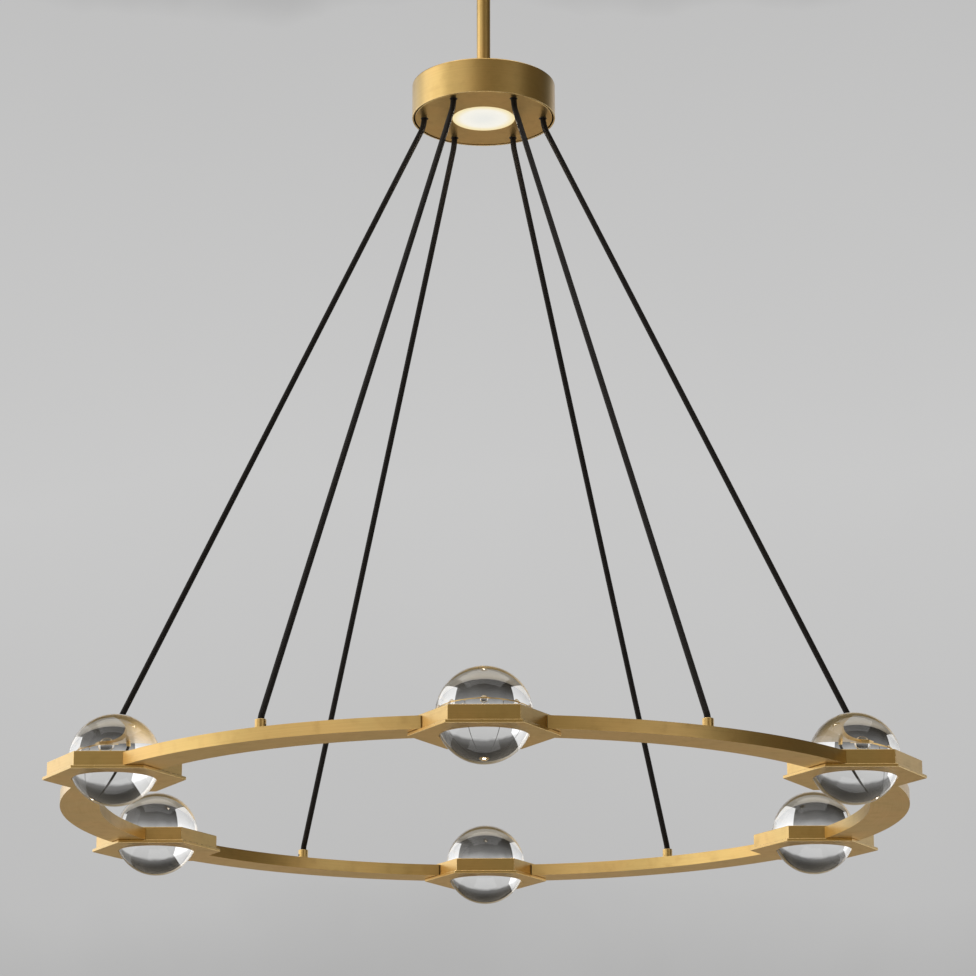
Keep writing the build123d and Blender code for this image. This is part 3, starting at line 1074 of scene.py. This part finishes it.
soft = [e for e in bm.edges if all(on_corner(v) for v in e.verts)]
round_edges(bm, soft, canopy_corner, canopy_steps)
finish_piece("canopy_cup", bm, [turned_brass], "ceiling_mount", ["canopy"])
print("canopy", canopy_radius, "with", len(soft), "soft edges")

# %% [markdown]
# The stage is a floor and a pale backdrop. The floor keeps the lamp's shadow, and a painted
# shadow makes it duller right under the lamp, which draws a darker rim on the crystal. The
# backdrop glows with painted light: pale where the camera sees it, with painted shade below and
# far above. A ball shows it upside down, so its dark foot becomes the dark dome under each
# ball's pale top.

# %% Stage
floor_level = -3.7
backdrop_place = 5.2
backdrop_top = 5.0
stage_reach = 12
paper = {"Roughness": 0.9, "Specular IOR Level": 0.1}
# The duller tone right under the lamp is a painted shadow on the floor.
painted_shadow_floor, pale_floor = (0.30, 0.275, 0.235), (0.68, 0.65, 0.59)

floor_paper = Recipe("floor_paper", paper)
fibres = floor_paper.noise(floor_paper.place(), 9, 4)
x, y, _ = floor_paper.split(floor_paper.place())
away = floor_paper.span((x * x + y * y) ** 0.5 + fibres, 0.8, 4.5, 0, 1)
floor_paper.feed("Base Color", floor_paper.ramp(away, (0, painted_shadow_floor), (1, pale_floor)))

# The backdrop glows: its colour is painted light and painted shade, and it barely takes the
# lamps.
painted_glow = {"Base Color": (0.02, 0.02, 0.02, 1), "Emission Strength": 1}
backdrop_paper = Recipe("backdrop_paper", {**paper, **painted_glow})
mist = backdrop_paper.noise(backdrop_paper.place(), 1.1, 4)
height = backdrop_paper.split(backdrop_paper.place())[2] + mist * 0.5 - 0.25
# Painted light up the backdrop: dark at its foot, brightest round the lamp's height, dark far
# above.
tones = (
    (0.0, 0.002),
    (0.07, 0.012),
    (0.15, 0.05),
    (0.24, 0.14),
    (0.31, 0.40),
    (0.36, 0.50),
    (0.50, 0.57),
    (0.68, 0.52),
    (0.74, 0.14),
    (0.86, 0.05),
    (1.0, 0.02),
)
rise = backdrop_paper.span(height, floor_level, backdrop_top, 0, 1)
greys = [(spot, (tone,) * 3) for spot, tone in tones]
backdrop_paper.feed("Emission Color", backdrop_paper.ramp(rise, *greys))


def sheet_of(name, matrix, recipe):
    """A large sheet, seen from its front alone, so that it blocks no view from behind."""
    recipe.feed("Alpha", 1 - recipe.node("ShaderNodeNewGeometry", {}, {}, "Backfacing"))
    bm = bmesh.new()
    bmesh.ops.create_grid(bm, x_segments=1, y_segments=1, size=stage_reach)
    bmesh.ops.transform(bm, matrix=matrix, verts=bm.verts)
    mesh = bpy.data.meshes.new(name)
    bm.to_mesh(mesh)
    bm.free()
    mesh.materials.append(recipe.material)
    made = add_object(name, mesh)


forward = Matrix.Translation((0, backdrop_place - stage_reach, floor_level))
raised = Matrix.Translation((0, backdrop_place, floor_level + stage_reach))
sheet_of("floor", forward, floor_paper)
sheet_of("backdrop", raised @ Matrix.Rotation(math.pi / 2, 4, "X"), backdrop_paper)
print("stage: floor at", floor_level, "backdrop at", backdrop_place)

# %% [markdown]
# Two large soft boxes stand left and right of the lamp and reach back past it. The left one is
# tall, so brass that faces it turns pale, also high on the drum. The right one is low, so the
# drum's right side stays dark. Crystal shows both as patches at its sides. Four more boxes
# light metal and floor alone, so that crystal stays clear: one overhead, one low at the back
# for what faces down, one on the floor for the lower edges, and a cool one in the left box
# that whitens the brass's highlights.

# %% Soft boxes
neutral, warm, cool = (1, 1, 1), (1, 0.72, 0.32), (0.1, 0.5, 1)
left_side = ((-2.5, 1.5, -0.75), (1, 0, 0), (5.4, 4.3))
boxes = {
    "left": (*left_side, 0.71, neutral, True),
    "right": ((2.5, 2.5, -2.0), (-1, 0, 0), (3.8, 1.7), 0.76, neutral, True),
    "top": ((0.0, -0.4, 2.8), (0, 0, -1), (5.2, 4.0), 1.15, neutral, False),
    "low": ((-0.9, 4.9, -2.45), (0, -1, 0), (5.0, 1.7), 0.3, warm, False),
    "foot": ((0.0, -0.6, -3.6), (0, 0, 1), (2.4, 1.8), 1.0, neutral, False),
    "left_cool": (*left_side, 0.7, cool, False),
}


def soft_box(name, spot, facing, size, radiance, colour, in_crystal=True):
    """An area light that the camera can't see, as bright as its radiance from any distance."""
    wide, tall = size
    lamp = bpy.data.lights.new(f"{name}_box", "AREA")
    lamp.shape = "RECTANGLE"
    lamp.size = wide
    lamp.size_y = tall
    lamp.energy = radiance * math.pi * wide * tall
    lamp.color = colour
    stand = add_object(f"{name}_box", lamp)
    stand.location = spot
    stand.rotation_euler = Vector(facing).to_track_quat("-Z", "Y").to_euler()
    stand.visible_camera = False
    stand.visible_transmission = in_crystal
    return stand


for name, settings in boxes.items():
    soft_box(name, *settings)
print("soft boxes:", ", ".join(boxes))

# %% [markdown]
# The downlight itself is far brighter than a picture can show. A small hidden lamp just under
# the lens stands for that, and gives each ball its two sharp points of light.

# %% Downlight
glow_side = 0.06
glow_drop = 0.004
glow_radiance = 22
glow_tint = (1.0, 0.86, 0.66)
glow_spot = (0, 0, lens_low - glow_drop)
glow_size = (glow_side, glow_side)
glow = soft_box("downlight", glow_spot, (0, 0, -1), glow_size, glow_radiance, glow_tint)
glow.parent = lens
print("downlight", glow_drop, "m under the lens")

# %% [markdown]
# The rest of the room is softly lit, and warmer where it is dim. High up it is brighter at the
# left than at the right. Round the lamp's own level it is bright at the left, dark straight
# behind the camera, bright again at the right and dark at the far right. Metal shows it as
# slow changes of tone.

# %% Room
world = bpy.data.worlds.new("room")
bpy.context.scene.world = world
room = Recipe("room", {"Strength": 1}, world)
x, y, z = room.split(room.node("ShaderNodeTexCoord", {}, {}, "Generated"))
round_level = (
    (-1.0, 0.6),
    (-0.6, 0.88),
    (-0.4, 0.94),
    (-0.2, 0.42),
    (0.0, 0.09),
    (0.15, 0.2),
    (0.45, 0.56),
    (0.8, 0.94),
    (0.9, 0.1),
    (1.0, 0.05),
)
high_level = ((-0.6, 0.68), (-0.15, 0.28), (0.36, 0.1))


def room_ramp(levels):
    """Tones from left to right, the dim ones warmer than the bright ones."""
    tones = [(t, t * (0.78 + 0.22 * t), t * (0.45 + 0.55 * t)) for _, t in levels]
    stops = [((side + 1) / 2, tone) for (side, _), tone in zip(levels, tones)]
    return room.ramp(x * 0.5 + 0.5, *stops)


low_room, high_room = room_ramp(round_level), room_ramp(high_level)
room.feed("Color", room.blend(room.span(z, 0.2, 0.36, 0, 1), low_room, high_room))
print("room:", len(round_level), "tones round the lamp and", len(high_level), "above it")

# %% [markdown]
# Last, the pieces whose meshes are not closed are listed.

# %% Open edges
print("pieces with open edges:", unsealed or "none")
